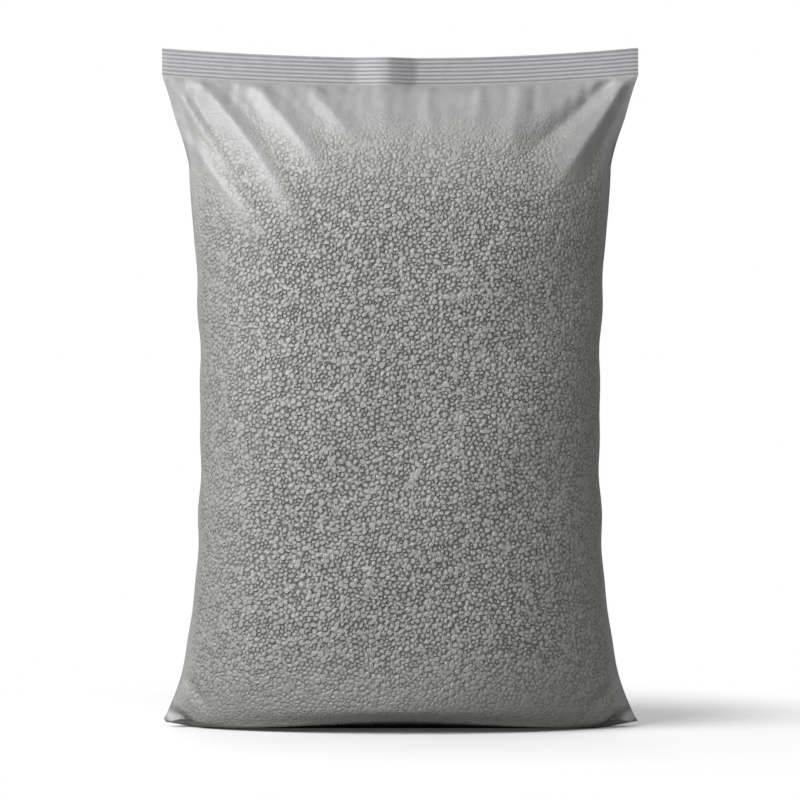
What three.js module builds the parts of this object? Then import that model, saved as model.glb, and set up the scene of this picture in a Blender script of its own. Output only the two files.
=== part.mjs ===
// A sealed pillow bag of cat litter, standing on its base with its crimped seal at the top.
// Millimetres, +Z up, front towards -Y, origin at the middle of the base.
// The bag is one piece: a tube of film, crimped shut at both ends and drawn tight over the litter.
// It is lofted from level outlines of the film, each walked by arc length so that every column
// of vertices stays on one line of the film from the base to the seal.
import * as THREE from 'three';

// Driving dimensions
const filmWidth = 265; // lay-flat width of the film tube, so also the length of the seal
const bagHeight = 378; // floor to the upper corners of the seal
const waistWidth = 219; // the filled body at its narrowest
const sealHeight = 15.4; // crimped band
const sealThickness = 1.2; // two films and their crimp
const ribCount = 7; // ribs across the height of the crimped band
const ribRise = 0.45; // each rib out of the band's middle plane
const sealSag = 5.6; // the middle of the seal below its corners
const shoulderDrop = 47; // how quickly the film opens out below the seal
const topFlareDrop = 60; // how quickly the seal's width draws in to the waist
const footFlareRise = 48; // how quickly the waist spreads again to the bottom corners
const footPinchRise = 36; // how quickly the round sides sharpen into the corners' creases
const earHeight = 3; // tip of each bottom corner above the floor
const earFlare = 2.5; // the corners' last spread, out to the full width of the film
const earFlareRise = 5;
const earUndercut = 20; // how far the tip overhangs the base
const rollHeight = 12; // rounded lower edge of the front and back
const rollInset = 8; // depth that the rounding takes off each side of the base
const baseDent = { depth: 3, width: 130, height: 18 }; // base drawn in towards the bottom seal
const basePinch = 0.4; // pinch of the base's ends, as a share of that in the corners above
const baseSealShare = 0.4; // the most of the base's depth that half the bottom seal takes up
const belly = { share: 0.05, height: 110, reach: 90 }; // extra depth where the fill settles
const fullSection = { acrossPower: 0.84, depthPower: 0.92 }; // outline with round sides
const creasedSection = { acrossPower: 1, depthPower: 2.1 }; // outline with sharp side creases
const creaseCalm = 6; // folds die out this close to the side creases
const tuckCalm = 3; // and the tucks of the bottom corners this close
const sealCalm = 5; // folds start this far below the seal
const backSeamWidth = 11; // lengthwise seam of the tube, laid flat on the back
const backSeamRise = 0.9;

// Facets
const columnsPerSide = 46;
const sectionDivisions = 400;
const seamEdge = 0.6; // a column each side of a seam edge, this far from it
const columnRoom = 0.008; // other columns stay this share of the film clear of the seam's
const plainTop = 225; // above this the folds need closer rings
const sealApproach = 14; // and the last stretch below the seal closer still

const sealBase = bagHeight - sealHeight;
const flare = (filmWidth - waistWidth) / 2;

// Folds gathered below the seal on the front, as the film narrows from the seal to the waist.
// Each runs from one point to another, given as [across, down from the seal], with a sharp crest
// between a left and a right flank. A bow takes the middle of a crest to the right, and a negative
// rise makes a valley. The back has the same folds mirrored.
const gathers = [
  { from: [-126, 10], to: [-110, 56], left: 6, right: 6, rise: -2.4 },
  { from: [-129, -2], to: [-73, 86], left: 10, right: 5, rise: 2.2 },
  { from: [-117, 36], to: [-66, 102], left: 15, right: 9, rise: 3.0 },
  { from: [-116, -2], to: [-46, 106], bow: 6.5, left: 14, right: 9, rise: 3.4 },
  { from: [-85, -2], to: [-33, 70], bow: 2, left: 11, right: 10, rise: 3.0 },
  { from: [-54, -2], to: [-20, 42], left: 9, right: 9, rise: 2.4 },
  { from: [14, -2], to: [17, 38], left: 7, right: 7, rise: 1.2 },
  { from: [48, -2], to: [40, 30], left: 7, right: 7, rise: 1.1 },
  { from: [69, -2], to: [59, 50], left: 9, right: 9, rise: 1.7 },
  { from: [122, -2], to: [60, 52], left: 9, right: 8, rise: -2.8 },
  { from: [129, -2], to: [78, 74], left: 14, right: 10, rise: 4.2 },
  { from: [134, 2], to: [98, 60], left: 9, right: 9, rise: -2.0 },
];

// Tucks at each bottom corner, where the film is pinched into the end of the bottom seal,
// as [across, up from the floor] on the right-hand side.
const cornerTucks = [
  { from: [130, 14], to: [110, -3], left: 8, right: 3, rise: -4.0 },
  { from: [124, 32], to: [102, 10], left: 6, right: 4, rise: -2.2 },
];

// Every fold: how far its crest is rounded, how hollow its flanks are, its widths at its two ends
// as shares of those given, and the shares of its length over which it starts and dies out
const foldShape = {
  crest: 0.7,
  hollow: 1.25,
  widths: [0.7, 1.3],
  starts: [-0.1, 0.1],
  dies: [0.55, 1],
};

// The bottom seal, folded flat under the base: its edges and ribs, as [back from its middle, up]
const footSealProfile = [
  [-9.4, 0],
  [-8.3, 0.6],
  [-5.6, 0],
  [-2.8, 0.4],
  [0, 0],
  [2.8, 0.4],
  [5.6, 0],
  [8.3, 0.6],
  [9.4, 0],
];

// Slow unevenness of the fill under the film: wavelengths across and up, and height
const fillWaves = [
  { across: 148, up: 121, shift: 0.6, rise: 0.8 },
  { across: 87, up: 93, shift: 2.1, rise: 0.5 },
];
const edgeWaves = [
  { up: 37, shift: 0, rise: 0.35 },
  { up: 58, shift: 1.3, rise: 0.4 },
]; // scallops along the side creases
const edgeKink = { drop: 50, reach: 26, depth: 2 }; // nick where the seal's flare meets the fill
const sealKink = { at: -7, left: 18, right: 16, rise: 5.4, soft: 0.12 }; // step over the back seam
const sealSway = { length: 210, rise: 1.6 }; // the seal isn't quite flat

function mix(a, b, share) {
  return a + (b - a) * share;
}

function rounded(distance, width) {
  return Math.exp(-((2 * distance / width) ** 2));
}

// A level outline of the film, from the right-hand crease round the back to the left-hand
// crease and home along the front. pinch runs from 0, a full round side, to 1, a sharp crease.
class FilmOutline extends THREE.Curve {
  constructor(halfWidth, halfDepth, pinch) {
    super();
    this.halfWidth = halfWidth;
    this.halfDepth = halfDepth;
    this.acrossPower = mix(fullSection.acrossPower, creasedSection.acrossPower, pinch);
    this.depthPower = mix(fullSection.depthPower, creasedSection.depthPower, pinch);
    this.arcLengthDivisions = sectionDivisions;
  }

  getPoint(t) {
    const across = Math.cos(2 * Math.PI * t);
    const depth = Math.sin(2 * Math.PI * t);
    return new THREE.Vector3(
      this.halfWidth * Math.sign(across) * Math.abs(across) ** this.acrossPower,
      this.halfDepth * Math.sign(depth) * Math.abs(depth) ** this.depthPower,
      0,
    );
  }
}

// The waist takes up the whole film, so its depth follows from the film's length around it.
function halfDepthOfFullFilm() {
  let low = 0;
  let high = waistWidth / 2;
  for (let step = 0; step < 30; step++) {
    const middle = (low + high) / 2;
    const around = new FilmOutline(waistWidth / 2, middle, 0).getLength();
    if (around < 2 * filmWidth) low = middle;
    else high = middle;
  }
  return low;
}

const fullHalfDepth = halfDepthOfFullFilm();

// How strongly the seal above and the bottom corners below still shape the film at a height
function sealPull(z) {
  return Math.exp(-Math.max(0, sealBase - z) / topFlareDrop);
}

function footPull(z) {
  return Math.exp(-z / footPinchRise);
}

function halfWidthAt(z) {
  const free = (1 - sealPull(z)) * (1 - footPull(z));
  let scallop = 0;
  for (const wave of edgeWaves) {
    scallop += wave.rise * free * Math.sin((2 * Math.PI * z) / wave.up + wave.shift);
  }
  const undercut = earUndercut * Math.max(0, 1 - z / earHeight);
  const ear = earFlare * Math.exp(-z / earFlareRise);
  const kinkAway = Math.abs(sealBase - z - edgeKink.drop) / edgeKink.reach;
  const nick = edgeKink.depth * Math.max(0, 1 - kinkAway);
  const spread = flare * (sealPull(z) + Math.exp(-z / footFlareRise)) + ear;
  return waistWidth / 2 + spread + scallop - undercut - nick;
}

function halfDepthAt(z) {
  const drop = Math.max(0, sealBase - z);
  const open = 1 - Math.exp(-drop / shoulderDrop);
  const swell = 1 + belly.share * Math.exp(-(((z - belly.height) / belly.reach) ** 2));
  const rollShare = Math.min(1, z / rollHeight);
  const inset = rollInset * (1 - Math.sqrt(1 - (1 - rollShare) ** 2));
  return sealThickness / 2 + fullHalfDepth * swell * open - inset;
}

function pinchAt(z) {
  const onBase = Math.max(0, 1 - z / earHeight);
  return Math.min(1, sealPull(z) + footPull(z)) * mix(1, basePinch, onBase);
}

// How far one fold lifts the film at a point of the front view
function foldAt(fold, across, along) {
  const run = [fold.to[0] - fold.from[0], fold.to[1] - fold.from[1]];
  const reach = [across - fold.from[0], along - fold.from[1]];
  const length = Math.hypot(...run);
  const share = (reach[0] * run[0] + reach[1] * run[1]) / length ** 2;
  const bowed = 4 * (fold.bow ?? 0) * share * (1 - share);
  const aside = (reach[0] * run[1] - reach[1] * run[0]) / length - bowed;
  const starts = THREE.MathUtils.smoothstep(share, ...foldShape.starts);
  const dies = 1 - THREE.MathUtils.smoothstep(share, ...foldShape.dies);
  const flank = aside > 0 ? fold.right : fold.left;
  const width = flank * mix(...foldShape.widths, THREE.MathUtils.clamp(share, 0, 1));
  const near = Math.max(0, 1 - Math.hypot(aside, foldShape.crest) / width);
  return fold.rise * starts * dies * near ** foldShape.hollow;
}

// Everything that lifts the film off its plain outline, along its outward normal
function filmRelief(point, z, halfWidth) {
  const back = point.y > 0;
  const across = back ? -point.x : point.x;
  const drop = sealBase - z;
  let lift = 0;
  for (const fold of gathers) lift += foldAt(fold, across, drop);
  lift *= THREE.MathUtils.smoothstep(drop, 0, sealCalm);
  const free = (1 - sealPull(z)) * (1 - footPull(z));
  for (const wave of fillWaves) {
    const phase = (2 * Math.PI * across) / wave.across + wave.shift;
    lift += free * wave.rise * Math.sin(phase) * Math.cos((2 * Math.PI * z) / wave.up);
  }
  const inward = halfWidth - Math.abs(point.x);
  lift *= 1 - rounded(inward, 2 * creaseCalm);
  const tuckShare = 1 - rounded(inward, 2 * tuckCalm);
  for (const tuck of cornerTucks) lift += tuckShare * foldAt(tuck, Math.abs(point.x), z);
  if (back && Math.abs(point.x) < backSeamWidth / 2 && drop > 0) lift += backSeamRise;
  return lift;
}

// How far the seal stands out of its plane: a slow sway, and a sharp step over the back seam
function sealOffset(x) {
  const sway = sealSway.rise * Math.sin((2 * Math.PI * x) / sealSway.length);
  const away = x - sealKink.at;
  const share = Math.min(1, Math.abs(away) / (away < 0 ? sealKink.left : sealKink.right));
  const tent = 1 - Math.sqrt(share ** 2 + sealKink.soft ** 2 * (1 - share ** 2));
  return sway - sealKink.rise * tent;
}

// One point of the film: a share of the way round the outline, at a height
function filmPoint(outline, share, z) {
  const point = outline.getPointAt(share);
  const outward = new THREE.Vector2(
    point.x / outline.halfWidth ** 2,
    point.y / Math.max(outline.halfDepth, 1) ** 2,
  ).normalize();
  const sealShare = sealPull(z);
  const edgeShare = (2 * point.x) / filmWidth;
  const drawn = rounded(point.x, baseDent.width) * rounded(z, baseDent.height);
  const dent = baseDent.depth * drawn * Math.sign(point.y);
  const offset = sealShare ** 3 * sealOffset(point.x);
  const lift = filmRelief(point, z, outline.halfWidth);
  point.x += lift * outward.x;
  point.y += lift * outward.y - dent + offset;
  point.z = z - sealShare ** 2 * sealSag * (1 - edgeShare ** 2);
  return point;
}

// Shares of the way round the film at which the columns stand: evenly from crease to crease,
// with a close pair at each edge of the back seam, and the same again on the front
function columnShares() {
  const seamEdges = [-1, 1].flatMap((side) =>
    [-seamEdge, seamEdge].map((step) => 0.5 + ((side * backSeamWidth) / 2 + step) / filmWidth),
  );
  const even = Array.from({ length: columnsPerSide }, (_, i) => i / columnsPerSide);
  const isClear = (share) => seamEdges.every((edge) => Math.abs(edge - share) > columnRoom);
  const clear = even.filter(isClear);
  const side = [...clear, ...seamEdges].sort((a, b) => a - b).map((share) => share / 2);
  return [...side, 0.5, ...side.slice(1).reverse().map((share) => 1 - share)];
}

// Heights of the rings of vertices: close together where the film turns or gathers
function filmHeights() {
  const zones = [
    { top: earHeight, rings: 2 },
    { top: rollHeight, rings: 5 },
    { top: plainTop, rings: 12 },
    { top: sealBase - sealApproach, rings: 18 },
    { top: sealBase, rings: 4 },
  ];
  const heights = [0];
  for (const zone of zones) {
    const start = heights.at(-1);
    for (let i = 1; i <= zone.rings; i++) heights.push(mix(start, zone.top, i / zone.rings));
  }
  return heights;
}

// The body of the bag, from the base up to the foot of the seal
function bodyRings(shares) {
  return filmHeights().map((z) => {
    const outline = new FilmOutline(halfWidthAt(z), halfDepthAt(z), pinchAt(z));
    return shares.map((share) => filmPoint(outline, share, z));
  });
}

// The crimped seal: the flat end of the film, pressed into level ribs by the sealing jaws
function sealRings(shares) {
  const rows = 2 * ribCount;
  const outline = new FilmOutline(filmWidth / 2, sealThickness / 2, 0);
  return Array.from({ length: rows }, (_, i) => {
    const row = i + 1;
    const z = sealBase + (sealHeight * row) / rows;
    const rib = row % 2 ? -ribRise : ribRise;
    return shares.map((share) => {
      const point = filmPoint(outline, share, z);
      point.y += rib;
      return point;
    });
  });
}

// The base between the front and back of the lowest ring, stepped over the folded bottom seal
function baseRows(ring) {
  const around = ring.length;
  const reach = footSealProfile.at(-1)[0];
  return footSealProfile.map(([offset, up]) =>
    Array.from({ length: around / 2 - 1 }, (_, i) => {
      const back = ring[i + 1];
      const front = ring[around - i - 1];
      const room = Math.min(1, (baseSealShare * (back.y - front.y)) / reach);
      const middle = (back.y + front.y) / 2;
      return new THREE.Vector3(mix(front.x, back.x, 0.5), middle + offset * room, up * room);
    }),
  );
}

// Skins a stack of rings, closes the top from front to back, and the base over its rows
function loft(rings, rows) {
  const around = rings[0].length;
  const half = around / 2;
  const index = [];
  const face = (a, b, c) => {
    if (a !== b && b !== c && c !== a) index.push(a, b, c);
  };
  const quad = (a, b, c, d) => {
    face(a, b, c);
    face(a, c, d);
  };
  for (let k = 0; k + 1 < rings.length; k++) {
    for (let j = 0; j < around; j++) {
      const next = (j + 1) % around;
      const [low, high] = [k * around, (k + 1) * around];
      quad(low + j, low + next, high + next, high + j);
    }
  }
  const top = (rings.length - 1) * around;
  const frontOf = (j) => (around - j) % around;
  for (let j = 0; j < half; j++) {
    quad(top + j, top + j + 1, top + frontOf(j + 1), top + frontOf(j));
  }
  const firstRow = rings.length * around;
  const baseVertex = (row, j) => {
    if (j === 0 || j === half || row === rows.length) return j;
    if (row < 0) return frontOf(j);
    return firstRow + row * (half - 1) + j - 1;
  };
  for (let row = -1; row < rows.length; row++) {
    for (let j = 0; j < half; j++) {
      const [near, far] = [baseVertex(row, j), baseVertex(row + 1, j)];
      quad(near, baseVertex(row, j + 1), baseVertex(row + 1, j + 1), far);
    }
  }
  const geometry = new THREE.BufferGeometry().setFromPoints([...rings.flat(), ...rows.flat()]);
  geometry.setIndex(index);
  return geometry;
}

function makeBag() {
  const shares = columnShares();
  const body = bodyRings(shares);
  const geometry = loft([...body, ...sealRings(shares)], baseRows(body[0]));
  geometry.computeBoundingBox();
  const middle = geometry.boundingBox.getCenter(new THREE.Vector3());
  geometry.translate(-middle.x, -middle.y, -geometry.boundingBox.min.z);
  geometry.computeVertexNormals();
  const film = new THREE.MeshStandardMaterial({ color: 0x979894, roughness: 0.42, metalness: 0 });
  const bag = new THREE.Mesh(geometry, film);
  bag.name = 'bag';
  return bag;
}

const litterBag = new THREE.Group();
litterBag.add(makeBag());

export default litterBag;
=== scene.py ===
import math
import bpy
import numpy as np
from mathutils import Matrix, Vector, geometry


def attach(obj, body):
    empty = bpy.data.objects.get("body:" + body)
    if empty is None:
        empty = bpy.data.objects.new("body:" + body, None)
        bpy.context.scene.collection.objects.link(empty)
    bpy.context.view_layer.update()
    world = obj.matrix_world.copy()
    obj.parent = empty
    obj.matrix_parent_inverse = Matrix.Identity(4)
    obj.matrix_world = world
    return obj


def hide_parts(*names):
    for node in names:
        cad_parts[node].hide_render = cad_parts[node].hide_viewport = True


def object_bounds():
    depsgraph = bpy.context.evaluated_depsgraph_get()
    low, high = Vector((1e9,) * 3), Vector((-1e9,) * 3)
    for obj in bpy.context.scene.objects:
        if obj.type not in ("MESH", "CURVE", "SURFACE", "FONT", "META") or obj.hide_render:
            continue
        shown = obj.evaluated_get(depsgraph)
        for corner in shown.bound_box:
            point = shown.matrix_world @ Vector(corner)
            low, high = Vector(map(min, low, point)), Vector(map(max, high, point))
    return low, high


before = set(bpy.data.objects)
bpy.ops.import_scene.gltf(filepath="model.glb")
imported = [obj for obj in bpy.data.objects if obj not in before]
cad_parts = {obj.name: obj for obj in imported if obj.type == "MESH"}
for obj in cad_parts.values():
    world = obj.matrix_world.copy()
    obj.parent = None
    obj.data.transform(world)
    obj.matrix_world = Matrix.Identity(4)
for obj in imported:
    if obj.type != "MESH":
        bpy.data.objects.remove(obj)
cadLow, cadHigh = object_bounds()
scene = bpy.context.scene
scene.view_settings.view_transform = "Standard"
mm = 0.001  # shapes are worked out in millimetres
print("frame loaded, nodes:", sorted(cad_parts))

# the bag's own sizes, as in the solid that it stands for
bag = {
    "filmWidth": (cadHigh.x - cadLow.x) / mm,  # lay-flat width of the film tube
    "height": (cadHigh.z - cadLow.z) / mm,
    "halfDepth": (cadHigh.y - cadLow.y) / mm / 2,
    "waistWidth": 219,
    "sealHeight": 15.4,
    "sealThickness": 1.2,
    "sealSag": 5.6,  # middle of the seal below its corners
    "ribs": 7,
    "ribRise": 0.38,
    "shoulderDrop": 47,
    "topFlareDrop": 60,
    "footFlareRise": 48,
    "footPinchRise": 36,
    "earHeight": 3,
    "earFlare": 2.5,
    "earFlareRise": 5,
    "earUndercut": 20,
    "rollHeight": 12,
    "rollInset": 8,
    "fullSection": (0.84, 0.92),  # exponents of a level section across and in depth, where the bag is full
    "pinchedSection": (1.0, 2.1),  # and where it is pressed flat
    "baseDent": 3,
    "dentReach": (130, 18),  # across and up
    "basePinch": 0.4,
    "baseLift": 6.5,  # the front's lower edge hangs clear of the floor between the corners
    "liftReach": (150, 20),
    "baseEase": 10,  # both fade out over this depth, towards the creases
    "sealCalm": 5,  # the folds fade out this near the seal
    "creaseCalm": 6,  # and this near the side creases
    "tuckCalm": 3,
    "creaseThickness": 0.7,  # two films, pressed together along the side creases
    "creaseOpening": 2.5,
    "nick": 2,  # the outline's kink where the seal's flare meets the fill
    "nickDrop": 50,
    "nickReach": 26,
    "seamWidth": 11,  # lengthwise seam on the back
    "seamRise": 0.9,
    "belly": 0.05,
    "bellyHeight": 110,
    "bellyReach": 90,
}
sealBase = bag["height"] - bag["sealHeight"]
flare = (bag["filmWidth"] - bag["waistWidth"]) / 2
innerDepth = bag["halfDepth"] - bag["sealThickness"] / 2 - bag["seamRise"] / 2
fullDepth = innerDepth / (1 + bag["belly"])

# the granules under the film
granules = {
    "pitch": 2.7,
    "jitter": 0.75,  # share of the pitch, before the places are evened out
    "evened": 2,
    "missing": 0.03,  # share of places left out, so that neighbours grow
    "depth": 1.0,  # deepest gaps between granules, below their tops
    "height": (0.55, 1.0),  # granules sit higher and lower
    "gap": (0.0, 0.4),  # the film sinks more or less between them
    "start": (4, 92),  # they fade in this far below the seal
    "creaseFade": (2, 15),
    "sideFade": (15, 75),  # and they stand out less towards the sides
    "sideShow": 0.55,
    "footFade": (5, 65),  # they show less and less down to the floor
    "footShow": 0.22,
    "least": 0.02,  # where less than this share shows, the film is plain
    "ridge": 2.4,  # height of a fold that lifts the film clear of them
    "ridgeHide": 0.8,  # share that is hidden there
    "rowShift": 0.25,  # every other row is shifted to the left and right by this share of the pitch
    "border": 0.25,  # nearest to the film's borders, in pitches
    "margin": 4,  # places mirrored over the borders, in pitches
    "seed": 11,
}

# folds from the seal, as across and drop below the seal, from the first point to the second;
# left and right are the widths of a fold's two flanks half way along it, and bow is how far the
# middle of its crest lies to the right; the back has the same folds, turned round
gathers = [
    {"start": (-126, 10), "end": (-110, 56), "left": 6, "right": 6, "rise": -2.4},
    {"start": (-129, -2), "end": (-73, 86), "left": 10, "right": 5, "rise": 2.2},
    {"start": (-117, 36), "end": (-66, 102), "left": 15, "right": 9, "rise": 3.0},
    {"start": (-116, -2), "end": (-46, 106), "bow": 6.5, "left": 14, "right": 9, "rise": 3.4},
    {"start": (-85, -2), "end": (-33, 70), "bow": 2, "left": 11, "right": 10, "rise": 3.0},
    {"start": (-54, -2), "end": (-20, 42), "left": 9, "right": 9, "rise": 2.4},
    {"start": (-64, -2), "end": (-56, 16), "left": 4, "right": 4, "rise": 0.8},
    {"start": (14, -2), "end": (17, 38), "left": 7, "right": 7, "rise": 1.2},
    {"start": (48, -2), "end": (40, 30), "left": 7, "right": 7, "rise": 1.1},
    {"start": (69, -2), "end": (59, 50), "left": 9, "right": 9, "rise": 1.7},
    {"start": (122, -2), "end": (60, 52), "left": 9, "right": 8, "rise": -2.8},
    {"start": (129, -2), "end": (78, 74), "left": 14, "right": 10, "rise": 4.2},
    {"start": (134, 2), "end": (98, 60), "left": 9, "right": 9, "rise": -2.0},
]
# tucks of the bottom corners, as distance from the middle and height above the floor
cornerTucks = [
    {"start": (130, 14), "end": (110, -3), "left": 8, "right": 3, "rise": -4.0},
    {"start": (124, 32), "end": (102, 10), "left": 6, "right": 4, "rise": -2.2},
]
tuckDepth = (1.2, 3.2)  # the painted shade in a tuck grows between these depths
foldShape = {
    "crest": 0.7,  # radius that just rounds it
    "hollow": 1.25,
    "widths": (0.7, 1.3),  # share of a flank's width at the first point and at the second
    "begins": (-0.1, 0.1),  # shares of the way along
    "ends": (0.55, 1),
}
# unevenness of the side creases and of the fill
edgeWaves = [
    {"up": 37, "shift": 0, "rise": 0.35},
    {"up": 58, "shift": 1.3, "rise": 0.4},
]
fillWaves = [
    {"across": 148, "up": 121, "shift": 0.6, "rise": 0.8},
    {"across": 87, "up": 93, "shift": 2.1, "rise": 0.5},
]
# the seal: a step over the back seam, a slow sway, and the puckers under it
sealKink = {"at": -7, "left": 18, "right": 16, "rise": 5.4, "soft": 0.12}
sealSway = {"length": 210, "rise": 1.6}
puckers = {"pitch": (7, 13), "waves": 4, "lean": 0.3, "rise": 0.225, "drop": 13, "calm": 3, "seed": 5}
# the bottom seal, folded flat: places in depth across the base, and heights
footSeal = {
    "rows": [-9.4, -8.3, -5.6, -2.8, 0, 2.8, 5.6, 8.3, 9.4],
    "up": [0, 0.6, 0, 0.4, 0, 0.4, 0, 0.6, 0],
    "share": 0.4,  # most of the base's half depth that it takes up, towards the corners
}


def smooth(low, high, value):
    share = np.clip((value - low) / (high - low), 0, 1)
    return share * share * (3 - 2 * share)


def rounded(distance, width):
    return np.exp(-((2 * distance / width) ** 2))


def mix(a, b, share):
    return a + (b - a) * share


def sealPull(z):
    return np.exp(-np.maximum(0, sealBase - z) / bag["topFlareDrop"])


def footPull(z):
    return np.exp(-z / bag["footPinchRise"])


def halfWidthAt(z):
    free = (1 - sealPull(z)) * (1 - footPull(z))
    scallop = 0
    for wave in edgeWaves:
        scallop = scallop + wave["rise"] * free * np.sin(2 * math.pi * z / wave["up"] + wave["shift"])
    ear = bag["earFlare"] * np.exp(-z / bag["earFlareRise"])
    undercut = bag["earUndercut"] * np.maximum(0, 1 - z / bag["earHeight"])
    nick = bag["nick"] * np.maximum(0, 1 - np.abs(sealBase - z - bag["nickDrop"]) / bag["nickReach"])
    spread = flare * (sealPull(z) + np.exp(-z / bag["footFlareRise"]))
    return bag["waistWidth"] / 2 + spread + ear + scallop - undercut - nick


def halfDepthAt(z):
    opening = 1 - np.exp(-np.maximum(0, sealBase - z) / bag["shoulderDrop"])
    belly = 1 + bag["belly"] * np.exp(-(((z - bag["bellyHeight"]) / bag["bellyReach"]) ** 2))
    roll = np.minimum(1, z / bag["rollHeight"])
    inset = bag["rollInset"] * (1 - np.sqrt(1 - (1 - roll) ** 2))
    return bag["sealThickness"] / 2 + fullDepth * belly * opening - inset


def pinchAt(z):
    onBase = np.maximum(0, 1 - z / bag["earHeight"])
    return np.minimum(1, sealPull(z) + footPull(z)) * mix(1, bag["basePinch"], onBase)


# one face of the film as a table of points: columns run from the left crease to the right one by
# arc length, rows run from the floor to the seal along the middle of the face
def filmTable(rows=300, columns=220, fine=4000):
    zFine = np.linspace(0, sealBase, fine)
    run = np.hypot(np.diff(zFine), np.diff(halfDepthAt(zFine)))
    run = np.concatenate([[0], np.cumsum(run)])
    zRows = np.interp(np.linspace(0, run[-1], rows), run, zFine)
    turn = np.linspace(math.pi, 2 * math.pi, fine)
    across, depth = np.cos(turn), np.abs(np.sin(turn))
    depth[[0, -1]] = 0
    table = np.zeros((rows, columns, 3))
    for row, z in enumerate(zRows):
        pinch = pinchAt(z)
        flat, deep = (mix(a, b, pinch) for a, b in zip(bag["fullSection"], bag["pinchedSection"]))
        x = halfWidthAt(z) * np.sign(across) * np.abs(across) ** flat
        y = -halfDepthAt(z) * depth**deep
        length = np.concatenate([[0], np.cumsum(np.hypot(np.diff(x), np.diff(y)))])
        at = np.linspace(0, length[-1], columns)
        table[row, :, 0] = np.interp(at, length, x)
        table[row, :, 1] = np.interp(at, length, y)
        table[row, :, 2] = z
    return table, run[-1]


filmPoints, filmRun = filmTable()
filmNormals = np.cross(np.gradient(filmPoints, axis=1), np.gradient(filmPoints, axis=0))
filmNormals /= np.linalg.norm(filmNormals, axis=2, keepdims=True)
print("film laid out:", round(bag["filmWidth"]), "mm wide,", round(filmRun), "mm up to the seal")


def lookUp(table, s, v):
    rows, columns = table.shape[:2]
    column = np.clip(s / bag["filmWidth"] * (columns - 1), 0, columns - 1)
    row = np.clip(v / filmRun * (rows - 1), 0, rows - 1)
    j = np.minimum(column.astype(int), columns - 2)
    i = np.minimum(row.astype(int), rows - 2)
    a, b = (column - j)[:, None], (row - i)[:, None]
    low = mix(table[i, j], table[i, j + 1], a)
    high = mix(table[i + 1, j], table[i + 1, j + 1], a)
    return mix(low, high, b)


def foldLift(fold, across, along):
    start, end = np.array(fold["start"]), np.array(fold["end"])
    run = end - start
    length = np.hypot(*run)
    reachX, reachZ = across - start[0], along - start[1]
    share = (reachX * run[0] + reachZ * run[1]) / length**2
    bowed = 4 * fold.get("bow", 0) * share * (1 - share)
    aside = (reachX * run[1] - reachZ * run[0]) / length - bowed
    width = np.where(aside > 0, fold["right"], fold["left"])
    width = width * mix(*foldShape["widths"], np.clip(share, 0, 1))
    near = np.clip(1 - np.sqrt(aside**2 + foldShape["crest"] ** 2) / width, 0, 1)
    shown = smooth(*foldShape["begins"], share) * (1 - smooth(*foldShape["ends"], share))
    return fold["rise"] * near ** foldShape["hollow"] * shown


# how deep in a tuck of the bottom corners a point lies, from 0 to 1, as the mask of the painted shade in
# the tucks
def tuckShade(point):
    depth = 0
    for tuck in cornerTucks:
        depth = np.minimum(depth, foldLift(tuck, np.abs(point[:, 0]), point[:, 2]))
    return smooth(*tuckDepth, -depth)


def puckerLift(across, drop):
    draw = np.random.default_rng(puckers["seed"])
    lift = 0
    for pitch in np.linspace(*puckers["pitch"], puckers["waves"]):
        lean = draw.uniform(-puckers["lean"], puckers["lean"])
        phase = draw.uniform(0, 2 * math.pi)
        lift = lift + np.sin(2 * math.pi * (across + lean * drop) / pitch + phase)
    return puckers["rise"] * lift * np.exp(-drop / puckers["drop"]) * smooth(0, puckers["calm"], drop)


# how much of the granules shows through the film, from 0 to 1
def fillAt(s, v):
    point = lookUp(filmPoints, s, v)
    drop = sealBase - point[:, 2]
    crease = np.minimum(s, bag["filmWidth"] - s)
    return smooth(*granules["start"], drop) * smooth(*granules["creaseFade"], crease)


# ridges that stand clear of the granules, where the film is smooth again
def ridgeAt(across, drop):
    ridge = 0
    for fold in gathers:
        ridge = np.maximum(ridge, foldLift(fold, across, drop) / granules["ridge"])
    return np.clip(ridge, 0, 1)


# puts points of the flat film on the bag: side is 1 for the front and -1 for the back
def wrapFilm(s, v, rise, relief, side):
    point, normal = lookUp(filmPoints, s, v), lookUp(filmNormals, s, v)
    x, y, z = point.T
    crease = np.minimum(s, bag["filmWidth"] - s)
    y = np.minimum(y, -bag["creaseThickness"] / 2 * smooth(0, bag["creaseOpening"], crease))
    drop = sealBase - z
    across = side * x
    lift = 0
    for fold in gathers:
        lift = lift + foldLift(fold, across, drop)
    lift = lift * smooth(0, bag["sealCalm"], drop) + puckerLift(across, drop)
    free = (1 - sealPull(z)) * (1 - footPull(z))
    for wave in fillWaves:
        phase = 2 * math.pi * across / wave["across"] + wave["shift"]
        lift = lift + free * wave["rise"] * np.sin(phase) * np.cos(2 * math.pi * z / wave["up"])
    inward = halfWidthAt(z) - np.abs(x)
    lift = lift * (1 - rounded(inward, 2 * bag["creaseCalm"]))
    for tuck in cornerTucks:
        lift = lift + foldLift(tuck, np.abs(x), z) * (1 - rounded(inward, 2 * bag["tuckCalm"]))
    lift = lift + (rise - 1) * granules["depth"] * relief
    pull = sealPull(z)
    eased = np.clip(-y / bag["baseEase"], 0, 1)
    dent = bag["baseDent"] * rounded(x, bag["dentReach"][0]) * rounded(z, bag["dentReach"][1]) * eased
    lip = bag["baseLift"] * rounded(x, bag["liftReach"][0]) * rounded(z, bag["liftReach"][1]) * eased
    return np.stack(
        [
            x + lift * normal[:, 0],
            side * (y + lift * normal[:, 1] + dent) + pull**3 * seamStep(x),
            np.maximum(0, z + lift * normal[:, 2] + lip) - sagAt(x, z),
        ],
        axis=1,
    )


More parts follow.
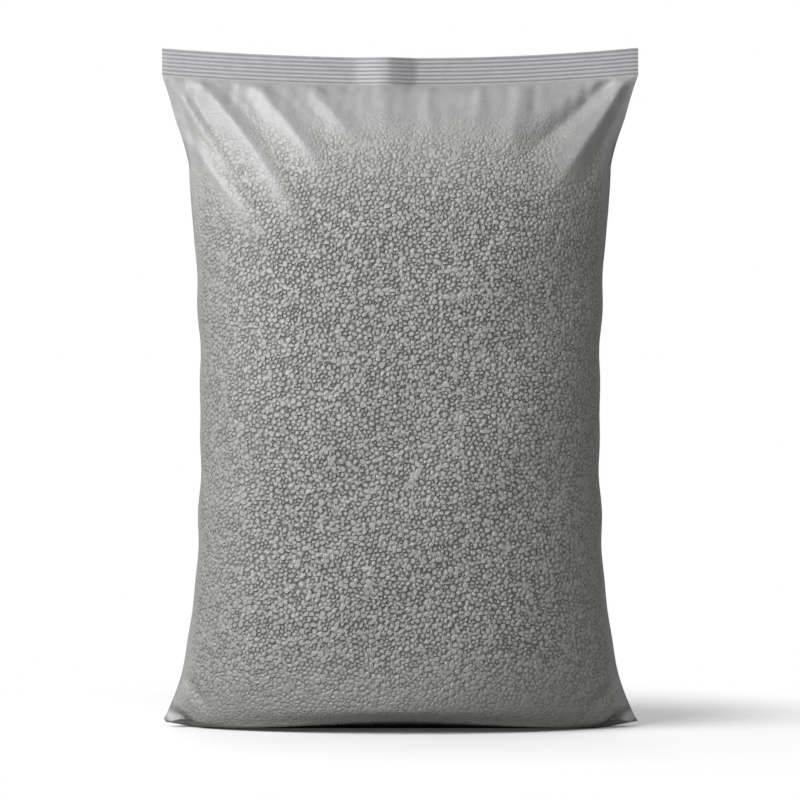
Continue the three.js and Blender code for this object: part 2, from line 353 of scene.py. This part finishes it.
# how far back the seal stands, with the step that the back seam makes in it
def seamStep(x):
    sway = sealSway["rise"] * np.sin(2 * math.pi * x / sealSway["length"])
    away = x - sealKink["at"]
    share = np.minimum(1, np.abs(away) / np.where(away < 0, sealKink["left"], sealKink["right"]))
    tent = 1 - np.sqrt(share**2 + sealKink["soft"] ** 2 * (1 - share**2))
    return sway - sealKink["rise"] * tent - bag["seamRise"] / 2


# how far the seal's middle hangs below its corners
def sagAt(x, z):
    return sealPull(z) ** 2 * bag["sealSag"] * (1 - (2 * x / bag["filmWidth"]) ** 2)


# places of the granules on one face of the film: a loose hexagonal packing
def granuleSeeds(draw):
    pitch = granules["pitch"]
    rowStep = pitch * math.sqrt(3) / 2
    columns = int(bag["filmWidth"] / pitch)
    rows = int(filmRun / rowStep)
    s, v = np.meshgrid(np.arange(columns) + 0.5, np.arange(rows) + 0.5)
    s = (s + granules["rowShift"] * (-1) ** np.arange(rows)[:, None]) * bag["filmWidth"] / columns
    v = v * filmRun / rows
    seeds = np.stack([s.ravel(), v.ravel()], axis=1)
    seeds += draw.uniform(-1, 1, seeds.shape) * granules["jitter"] * pitch
    seeds = seeds[draw.random(len(seeds)) > granules["missing"]]
    edge = granules["border"] * pitch
    return np.clip(seeds, edge, [bag["filmWidth"] - edge, filmRun - edge])


# the cells between those places; seeds mirrored over the film's borders keep the borders straight
def granuleCells(seeds):
    size = np.array([bag["filmWidth"], filmRun])
    margin = granules["margin"] * granules["pitch"]
    spread = [seeds]
    for flipS in (0, 1, 2):
        for flipV in (0, 1, 2):
            ghost = seeds.copy()
            for axis, flip in enumerate((flipS, flipV)):
                if flip:
                    border = 0 if flip == 1 else size[axis]
                    ghost[:, axis] = 2 * border - ghost[:, axis]
            near = np.all((ghost > -margin) & (ghost < size + margin), axis=1)
            if flipS or flipV:
                spread.append(ghost[near])
    points = np.concatenate(spread)
    found = geometry.delaunay_2d_cdt([Vector(p) for p in points], [], [], 0, 1e-7)
    points = np.array([p[:] for p in found[0]])
    origin = np.array([ids[0] for ids in found[3]])
    triangles = np.array(found[2])
    a, b, c = (points[triangles[:, k]] for k in range(3))
    ba, ca = b - a, c - a
    area = 2 * (ba[:, 0] * ca[:, 1] - ba[:, 1] * ca[:, 0])
    baSquare, caSquare = (ba**2).sum(1), (ca**2).sum(1)
    centreX = (ca[:, 1] * baSquare - ba[:, 1] * caSquare) / area
    centreY = (ba[:, 0] * caSquare - ca[:, 0] * baSquare) / area
    corners = (a + b + c) / 3
    onBorder = (origin[triangles] >= len(seeds)).any(axis=1)
    corners[onBorder] = (a + np.stack([centreX, centreY], axis=1))[onBorder]
    corners = np.clip(corners, 0, size)
    _, first, merged = np.unique(np.round(corners, 3), axis=0, return_index=True, return_inverse=True)
    merged = merged.ravel()
    around = [[] for _ in seeds]
    for triangle, ids in enumerate(origin[triangles]):
        for seed in ids:
            if seed < len(seeds):
                around[seed].append(triangle)
    cells = []
    for seed, touching in enumerate(around):
        arm = corners[touching] - seeds[seed]
        order = np.argsort(np.arctan2(arm[:, 1], arm[:, 0]))
        ring = [int(merged[touching[k]]) for k in order]
        cells.append([n for k, n in enumerate(ring) if n != ring[k - 1]])
    used = sorted({n for cell in cells for n in cell})
    place = {n: k for k, n in enumerate(used)}
    return corners[first][used], [[place[n] for n in cell] for cell in cells]


# one face of the film, flat: every granule is a mound with its top in the middle of a cell
def flatPanel(corners, cells, draw):
    middles = np.array([corners[cell].mean(axis=0) for cell in cells])
    shown = fillAt(*middles.T) > granules["least"]
    faces = []
    count = len(corners)
    for cell, mound in zip(cells, shown):
        if not mound:
            faces.append(cell)
            continue
        for k, corner in enumerate(cell):
            faces.append([cell[k - 1], corner, count])
        count += 1
    tops = int(shown.sum())
    gapRises = draw.uniform(*granules["gap"], len(corners))
    rises = np.concatenate([gapRises, draw.uniform(*granules["height"], tops)])
    tones = np.concatenate([np.full(len(corners), 0.5), draw.random(tops)])
    return np.concatenate([corners, middles[shown]]), rises, tones, faces


# the bag: both faces wrapped round the fill, the crimped seal above, and the base below
def makeBag():
    draw = np.random.default_rng(granules["seed"])
    seeds = granuleSeeds(draw)
    corners, cells = granuleCells(seeds)
    for _ in range(granules["evened"]):
        seeds = np.array([corners[cell].mean(axis=0) for cell in cells])
        corners, cells = granuleCells(seeds)
    print("granules on each face:", len(cells))
    topOrder = columnsAlong(corners, filmRun)
    footOrder = columnsAlong(corners, 0)
    shapes, rises, tones, fills, reliefs, creases, faces, seals = [], [], [], [], [], [], [], []
    offset = 0
    edges = {}
    for side in (1, -1):
        flat, rise, tone, panelFaces = flatPanel(corners, cells, draw)
        s, v = flat.T
        point = lookUp(filmPoints, s, v)
        ridge = ridgeAt(side * point[:, 0], sealBase - point[:, 2])
        fill = fillAt(s, v) * (1 - granules["ridgeHide"] * ridge)
        foot = mix(granules["footShow"], 1, smooth(*granules["footFade"], v))
        crease = np.minimum(s, bag["filmWidth"] - s)
        sides = mix(granules["sideShow"], 1, smooth(*granules["sideFade"], crease))
        relief = fill * np.minimum(foot, sides)
        shapes.append(wrapFilm(s, v, rise, relief, side))
        rises.append(rise)
        tones.append(tone)
        fills.append(fill)
        reliefs.append(relief)
        # the crease attribute carries painted shade in the tucks of the bottom corners
        creases.append(tuckShade(point))
        for face in panelFaces:
            faces.append([offset + n for n in (face if side > 0 else face[::-1])])
        edges[side] = (offset + topOrder, offset + footOrder)
        offset += len(flat)
    seals.append(np.zeros(len(faces)))
    extra, extraFaces = sealRows(np.concatenate(shapes), edges[1][0], edges[-1][0], offset)
    offset += len(extra)
    shapes.append(extra)
    faces += extraFaces
    seals.append(np.ones(len(extraFaces)))
    base, baseFaces = baseRows(np.concatenate(shapes), edges[1][1], edges[-1][1], offset)
    shapes.append(base)
    faces += baseFaces
    seals.append(np.zeros(len(baseFaces)))
    plain = len(extra) + len(base)
    rises.append(np.ones(plain))
    tones.append(np.full(plain, 0.5))
    fills.append(np.zeros(plain))
    reliefs.append(np.zeros(plain))
    creases.append(np.zeros(plain))
    mesh = bpy.data.meshes.new("litterBag")
    mesh.from_pydata((np.concatenate(shapes) * mm).tolist(), [], faces)
    layers = {"rise": rises, "tone": tones, "fill": fills, "relief": reliefs, "crease": creases}
    for name, values in layers.items():
        layer = mesh.attributes.new(name, "FLOAT", "POINT")
        layer.data.foreach_set("value", np.concatenate(values).astype(np.float32))
    mesh.polygons.foreach_set("material_index", np.concatenate(seals).astype(np.int32))
    return finishPiece("litter_bag", mesh, 85)


# links a piece, closes its borders where points meet, and smooths it up to an angle in degrees
def finishPiece(name, mesh, angle):
    piece = bpy.data.objects.new(name, mesh)
    scene.collection.objects.link(piece)
    bpy.ops.object.select_all(action="DESELECT")
    piece.select_set(True)
    bpy.context.view_layer.objects.active = piece
    bpy.ops.object.mode_set(mode="EDIT")
    bpy.ops.mesh.select_all(action="SELECT")
    bpy.ops.mesh.remove_doubles(threshold=0.02 * mm)
    bpy.ops.mesh.dissolve_degenerate(threshold=0.005 * mm)
    bpy.ops.mesh.normals_make_consistent(inside=False)
    bpy.ops.object.mode_set(mode="OBJECT")
    bpy.ops.object.shade_smooth_by_angle(angle=math.radians(angle))
    print(name + ":", sum(len(face.vertices) - 2 for face in mesh.polygons), "triangles")
    return piece


# the cells' corners on a border of the film, from left to right
def columnsAlong(corners, border):
    found = np.flatnonzero(np.abs(corners[:, 1] - border) < 1e-3)
    return found[np.argsort(corners[found, 0])]


# the crimp: rows pressed up and down by the sealing jaws
def sealRows(points, front, back, offset):
    steps = 4 * bag["ribs"]  # two flats and two slopes to a rib
    rows, faces = [], []
    count = len(front)
    below = (front, back)
    for step in range(1, steps + 1):
        up = bag["sealHeight"] * step / steps
        wave = bag["ribRise"] * math.sin(math.pi * step / 2)
        for edge in (front, back):
            rows.append(points[edge] + [0, wave, up])
        here = [offset + (2 * (step - 1) + k) * count + np.arange(count) for k in (0, 1)]
        for j in range(count - 1):
            faces.append([below[0][j], below[0][j + 1], here[0][j + 1], here[0][j]])
            faces.append([below[1][j + 1], below[1][j], here[1][j], here[1][j + 1]])
        below = here
    for j in range(count - 1):
        faces.append([below[0][j], below[0][j + 1], below[1][j + 1], below[1][j]])
    return np.concatenate(rows), [[int(n) for n in face] for face in faces]


# the base, with the bottom seal folded flat under it
def baseRows(points, front, back, offset):
    count = len(front)
    near, far = points[front], points[back]
    reach = footSeal["rows"][-1]
    room = np.minimum(1, footSeal["share"] * (far[:, 1] - near[:, 1]) / reach)[:, None]
    rows, faces = [], []
    below = front
    for n, (out, up) in enumerate(zip(footSeal["rows"], footSeal["up"])):
        rows.append(np.concatenate([((near + far) / 2)[:, :2] + room * [0, out], room * up], axis=1))
        here = offset + n * count + np.arange(count)
        for j in range(count - 1):
            faces.append([here[j], here[j + 1], below[j + 1], below[j]])
        below = here
    for j in range(count - 1):
        faces.append([back[j], back[j + 1], below[j + 1], below[j]])
    return np.concatenate(rows), [[int(n) for n in face] for face in faces]


# the lengthwise seam: a strip of two films, welded down along the middle of the back
seam = {
    "foot": 5,  # from the floor, along the film
    "drop": 3,  # and down from the seal
    "step": 3,
    "sink": 1.6,  # its underside lies within the bag
    "edge": 0.6,
    "waves": [(83, 0.5), (29, 0.2)],  # length and reach of its wander to the sides
}


def makeSeam():
    half, top = bag["seamWidth"] / 2, bag["seamRise"]
    inner = half - seam["edge"]
    ring = [(-half, -seam["sink"]), (half, -seam["sink"]), (half, top - seam["edge"]), (inner, top)]
    ring += [(inner / 3, top), (-inner / 3, top), (-inner, top), (-half, top - seam["edge"])]
    across, out = np.array(ring).T
    rows = int((filmRun - seam["foot"] - seam["drop"]) / seam["step"])
    along = np.linspace(seam["foot"], filmRun - seam["drop"], rows)
    wander = sum(reach * np.sin(2 * math.pi * along / length) for length, reach in seam["waves"])
    s = (bag["filmWidth"] / 2 + wander[:, None] + across).ravel()
    v = np.repeat(along, len(ring))
    plain = np.zeros(len(s))
    normal = lookUp(filmNormals, s, v) * [1, -1, 1]
    points = wrapFilm(s, v, plain + 1, plain, -1) + normal * np.tile(out, rows)[:, None]
    count = len(ring)
    faces = [list(range(count)), list(range((rows - 1) * count, rows * count))[::-1]]
    for row in range(rows - 1):
        for k in range(count):
            low, high = row * count, (row + 1) * count
            after = (k + 1) % count
            faces.append([low + k, low + after, high + after, high + k])
    mesh = bpy.data.meshes.new("backSeam")
    mesh.from_pydata((points * mm).tolist(), [], faces)
    return finishPiece("back_seam", mesh, 50)


# finishes
def nodeIn(tree, kind, place, **values):
    node = tree.nodes.new(kind)
    node.location = place
    for name, value in values.items():
        if name in node.inputs:
            node.inputs[name].default_value = value
        else:
            setattr(node, name, value)
    return node


film = {
    "granuleDark": (0.235, 0.235, 0.22, 1),
    "granuleLight": (0.315, 0.315, 0.297, 1),
    # painted shade: the dark colour of the gaps between granules stands in for the shade that falls in
    # them
    "gap": (0.05, 0.05, 0.046, 1),
    "smooth": (0.24, 0.243, 0.24, 1),
    "foot": (0.145, 0.145, 0.136, 1),  # painted shade: darker where the granules show less, down by the floor and, less so, towards the sides
    "seal": (0.29, 0.29, 0.3, 1),
    # how much painted shade darkens the tucks of the bottom corners
    "creaseShade": 0.6,
    "warp": 0.55,  # how far the grain bends the granules' outlines
    "gapShadeReach": 0.4,  # painted shade between the granules: the film is darker up to this rise
    "shoulder": (0.1, 0.55),  # rise over which a granule's side turns into its top
    "plateau": 1.1,
    "coarse": {"Scale": 160, "Detail": 3, "Roughness": 0.55},
    "fine": {"Scale": 620, "Detail": 2, "Roughness": 0.5},
    "fineShare": 0.45,
    "grain": {"Scale": 560, "Detail": 1, "Roughness": 0.5},
    "mottle": (0.3, 0.85),  # reach and least level of the film's unevenness
    "sealMottle": (0.24, 0.88),
    "crinkle": 0.3,
    "sealCrinkle": 0.09,
    "roughness": 0.5,
    "smoothRoughness": 0.44,
    "sealRoughness": 0.36,
}


def crinkleGroup():
    tree = bpy.data.node_groups.new("filmCrinkle", "ShaderNodeTree")
    tree.interface.new_socket("Vector", in_out="INPUT", socket_type="NodeSocketVector")
    tree.interface.new_socket("Height", in_out="OUTPUT", socket_type="NodeSocketFloat")
    tree.interface.new_socket("Mottle", in_out="OUTPUT", socket_type="NodeSocketFloat")
    tree.interface.new_socket("Grain", in_out="OUTPUT", socket_type="NodeSocketFloat")
    start = nodeIn(tree, "NodeGroupInput", (-600, 0))
    end = nodeIn(tree, "NodeGroupOutput", (400, 0))
    coarse = nodeIn(tree, "ShaderNodeTexNoise", (-300, 150), **film["coarse"])
    fine = nodeIn(tree, "ShaderNodeTexNoise", (-300, -150), **film["fine"])
    both = nodeIn(tree, "ShaderNodeMix", (0, 0), data_type="FLOAT")
    both.inputs[0].default_value = film["fineShare"]
    grain = nodeIn(tree, "ShaderNodeTexNoise", (-300, -450), **film["grain"])
    for texture in (coarse, fine, grain):
        tree.links.new(start.outputs["Vector"], texture.inputs["Vector"])
    tree.links.new(coarse.outputs[0], both.inputs[2])
    tree.links.new(fine.outputs[0], both.inputs[3])
    tree.links.new(both.outputs[0], end.inputs["Height"])
    tree.links.new(coarse.outputs[0], end.inputs["Mottle"])
    tree.links.new(grain.outputs[0], end.inputs["Grain"])
    return tree


def newMaterial(name):
    material = bpy.data.materials.new(name)
    material.use_nodes = True
    tree = material.node_tree
    tree.nodes.clear()
    output = nodeIn(tree, "ShaderNodeOutputMaterial", (900, 0))
    shader = nodeIn(tree, "ShaderNodeBsdfPrincipled", (600, 0))
    tree.links.new(shader.outputs[0], output.inputs["Surface"])
    return material, tree, shader


def colourMix(tree, place, factor, first, second, blend="MIX"):
    node = nodeIn(tree, "ShaderNodeMix", place, data_type="RGBA", blend_type=blend)
    for socket, value in ((node.inputs[0], factor), (node.inputs[6], first), (node.inputs[7], second)):
        if isinstance(value, bpy.types.NodeSocket):
            tree.links.new(value, socket)
        else:
            socket.default_value = value
    return node.outputs[2]


def mathNode(tree, place, operation, *values):
    node = nodeIn(tree, "ShaderNodeMath", place, operation=operation)
    for socket, value in zip(node.inputs, values):
        if isinstance(value, bpy.types.NodeSocket):
            tree.links.new(value, socket)
        else:
            socket.default_value = value
    return node.outputs[0]


def crinkleIn(tree, crinkle):
    where = nodeIn(tree, "ShaderNodeTexCoord", (-900, -400))
    group = nodeIn(tree, "ShaderNodeGroup", (-700, -400), node_tree=crinkle)
    tree.links.new(where.outputs["Object"], group.inputs["Vector"])
    return group


def bumpIn(tree, shader, height):
    bump = nodeIn(tree, "ShaderNodeBump", (350, -400), Strength=1.0, Distance=mm)  # heights are in mm
    tree.links.new(height, bump.inputs["Height"])
    tree.links.new(bump.outputs[0], shader.inputs["Normal"])


def stepNode(tree, place, value, low, high):
    node = nodeIn(tree, "ShaderNodeMapRange", place, interpolation_type="SMOOTHSTEP")
    node.inputs["From Min"].default_value = low
    node.inputs["From Max"].default_value = high
    tree.links.new(value, node.inputs["Value"])
    return node.outputs[0]


def granuleFilm(crinkle):
    material, tree, shader = newMaterial("granuleFilm")
    rise, fill, tone, relief, crease = (
        nodeIn(tree, "ShaderNodeAttribute", (-900, 300 - 200 * k), attribute_name=name).outputs["Fac"]
        for k, name in enumerate(("rise", "fill", "tone", "relief", "crease"))
    )
    granule = colourMix(tree, (-500, 100), tone, film["granuleDark"], film["granuleLight"])
    body = colourMix(tree, (-300, 100), fill, film["smooth"], granule)
    # painted shade: the film turns darker towards the floor, and a little towards the sides, where less of
    # the granules shows
    paintedShade = mathNode(tree, (-300, 250), "SUBTRACT", fill, relief)
    body = colourMix(tree, (-150, 250), paintedShade, body, film["foot"])
    group = crinkleIn(tree, crinkle)
    warp = film["warp"]
    # painted shade in the gaps between granules, with outlines bent by the grain, wherever the relief
    # shows
    bent = mathNode(tree, (-700, 400), "MULTIPLY_ADD", group.outputs["Grain"], warp, -warp / 2)
    bent = mathNode(tree, (-600, 400), "ADD", rise, bent)
    low = stepNode(tree, (-500, 400), bent, film["gapShadeReach"], 0)
    gap = mathNode(tree, (-300, 400), "MULTIPLY", low, relief)
    # painted shade in the tucks of the bottom corners, from the crease attribute
    gap = mathNode(tree, (-200, 400), "MULTIPLY_ADD", crease, film["creaseShade"], gap)
    colour = colourMix(tree, (0, 100), gap, body, film["gap"])
    mottle = mathNode(tree, (-100, -200), "MULTIPLY_ADD", group.outputs["Mottle"], *film["mottle"])
    colour = colourMix(tree, (200, 100), 1.0, colour, mottle, "MULTIPLY")
    tree.links.new(colour, shader.inputs["Base Color"])
    gain = film["roughness"] - film["smoothRoughness"]
    rough = mathNode(tree, (200, -150), "MULTIPLY_ADD", relief, gain, film["smoothRoughness"])
    tree.links.new(rough, shader.inputs["Roughness"])
    plateau = stepNode(tree, (-500, -700), bent, *film["shoulder"])
    plateau = mathNode(tree, (-300, -700), "MULTIPLY", plateau, relief)
    plateau = mathNode(tree, (-100, -700), "MULTIPLY", plateau, film["plateau"])
    height = mathNode(tree, (100, -600), "MULTIPLY_ADD", group.outputs["Height"], film["crinkle"], plateau)
    bumpIn(tree, shader, height)
    return material


def sealFilm(crinkle):
    material, tree, shader = newMaterial("sealFilm")
    group = crinkleIn(tree, crinkle)
    mottle = mathNode(tree, (-100, -200), "MULTIPLY_ADD", group.outputs["Mottle"], *film["sealMottle"])
    colour = colourMix(tree, (200, 100), 1.0, film["seal"], mottle, "MULTIPLY")
    tree.links.new(colour, shader.inputs["Base Color"])
    shader.inputs["Roughness"].default_value = film["sealRoughness"]
    height = mathNode(tree, (100, -600), "MULTIPLY", group.outputs["Height"], film["sealCrinkle"])
    bumpIn(tree, shader, height)
    return material


# camera, floor and light
view = {
    "pixels": 800,
    "sealPixels": 476,  # length of the seal in the photograph
    "topPixel": 48,  # row of the seal's upper corners
    "distance": 1.9,
    "sensor": 36,
}


def makeCamera():
    pixel = (cadHigh.x - cadLow.x) / view["sealPixels"]
    height = cadHigh.z - (view["pixels"] / 2 - view["topPixel"]) * pixel
    bpy.ops.object.camera_add(location=(0, -view["distance"], height), rotation=(math.pi / 2, 0, 0))
    camera = bpy.context.object
    camera.data.sensor_width = view["sensor"]
    camera.data.lens = view["sensor"] * view["distance"] / (view["pixels"] * pixel)
    scene.camera = camera


studio = {
    "floor": (0.7, 0.7, 0.7, 1),
    "floorBounce": (0.4, 0.4, 0.4, 1),  # what the bag gets back from it
    "floorSize": 12,
    "floorGlow": 0.04,  # seen by the camera only
    "shadowReach": (0.15, 0.33),  # past this the floor is plain white to the camera
    "ambient": 0.18,
    "key": {"at": (-1.05, -0.8, 1.14), "size": 1.1, "power": 33},
    "side": {"at": (-1.4, -0.7, 0.75), "size": 0.8, "power": 11.5},
    "fill": {"at": (0.5, -2.0, 1.4), "size": 1.4, "power": 17.5},
    "top": {"at": (0.2, 0.8, 1.6), "size": 1.3, "power": 13},
}


# matt and pale near the bag, where it takes the shadow, and plain white farther out
def makeFloor():
    bpy.ops.mesh.primitive_plane_add(size=studio["floorSize"], location=(0, 0, 0))
    floor = bpy.context.object
    floor.name = "floor"
    material = bpy.data.materials.new("paleFloor")
    material.use_nodes = True
    tree = material.node_tree
    tree.nodes.clear()
    output = nodeIn(tree, "ShaderNodeOutputMaterial", (800, 0))
    matt = nodeIn(tree, "ShaderNodeBsdfDiffuse", (0, 100))
    rays = nodeIn(tree, "ShaderNodeLightPath", (-600, -100))
    byCamera = rays.outputs["Is Camera Ray"]
    pale = colourMix(tree, (-200, 200), byCamera, studio["floorBounce"], studio["floor"])
    tree.links.new(pale, matt.inputs["Color"])
    where = nodeIn(tree, "ShaderNodeTexCoord", (-800, -400))
    away = nodeIn(tree, "ShaderNodeVectorMath", (-600, -400), operation="LENGTH")
    tree.links.new(where.outputs["Object"], away.inputs[0])
    far = stepNode(tree, (-400, -400), away.outputs["Value"], *studio["shadowReach"])
    glow = nodeIn(tree, "ShaderNodeEmission", (0, -100))
    seen = mathNode(tree, (-200, -100), "MULTIPLY", byCamera, studio["floorGlow"])
    tree.links.new(seen, glow.inputs["Strength"])
    near = nodeIn(tree, "ShaderNodeAddShader", (300, 0))
    tree.links.new(matt.outputs[0], near.inputs[0])
    tree.links.new(glow.outputs[0], near.inputs[1])
    white = nodeIn(tree, "ShaderNodeEmission", (300, -250))
    share = mathNode(tree, (300, -400), "MULTIPLY", byCamera, far)
    both = nodeIn(tree, "ShaderNodeMixShader", (550, 0))
    tree.links.new(share, both.inputs[0])
    tree.links.new(near.outputs[0], both.inputs[1])
    tree.links.new(white.outputs[0], both.inputs[2])
    tree.links.new(both.outputs[0], output.inputs["Surface"])
    floor.data.materials.append(material)


# white to the camera, a low even light to all else
def makeWorld():
    world = bpy.data.worlds.new("studio")
    scene.world = world
    world.use_nodes = True
    tree = world.node_tree
    rays = nodeIn(tree, "ShaderNodeLightPath", (-800, 0))
    byCamera, through = rays.outputs["Is Camera Ray"], rays.outputs["Is Transmission Ray"]
    seen = mathNode(tree, (-600, 0), "MAXIMUM", byCamera, through)
    level = mathNode(tree, (-400, 0), "MULTIPLY_ADD", seen, 1 - studio["ambient"], studio["ambient"])
    tree.links.new(level, tree.nodes["Background"].inputs["Strength"])
    tree.nodes["Background"].inputs["Color"].default_value = (1, 1, 1, 1)


def makeLamps():
    for name in ("key", "side", "fill", "top"):
        lamp = studio[name]
        aim = Vector((0, 0, cadHigh.z / 2)) - Vector(lamp["at"])
        turn = aim.to_track_quat("-Z", "Y").to_euler()
        bpy.ops.object.light_add(type="AREA", location=lamp["at"], rotation=turn)
        light = bpy.context.object
        light.name = name
        light.data.size = lamp["size"]
        light.data.energy = lamp["power"]


makeCamera()
makeFloor()
makeWorld()
makeLamps()
print("camera and studio ready")

litterBag = makeBag()
crinkle = crinkleGroup()
pressedFilm = sealFilm(crinkle)
litterBag.data.materials.append(granuleFilm(crinkle))
litterBag.data.materials.append(pressedFilm)
backSeam = makeSeam()
backSeam.data.materials.append(pressedFilm)
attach(backSeam, "root")
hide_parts("bag")
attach(litterBag, "root")
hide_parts("bag")
print("bag dressed")
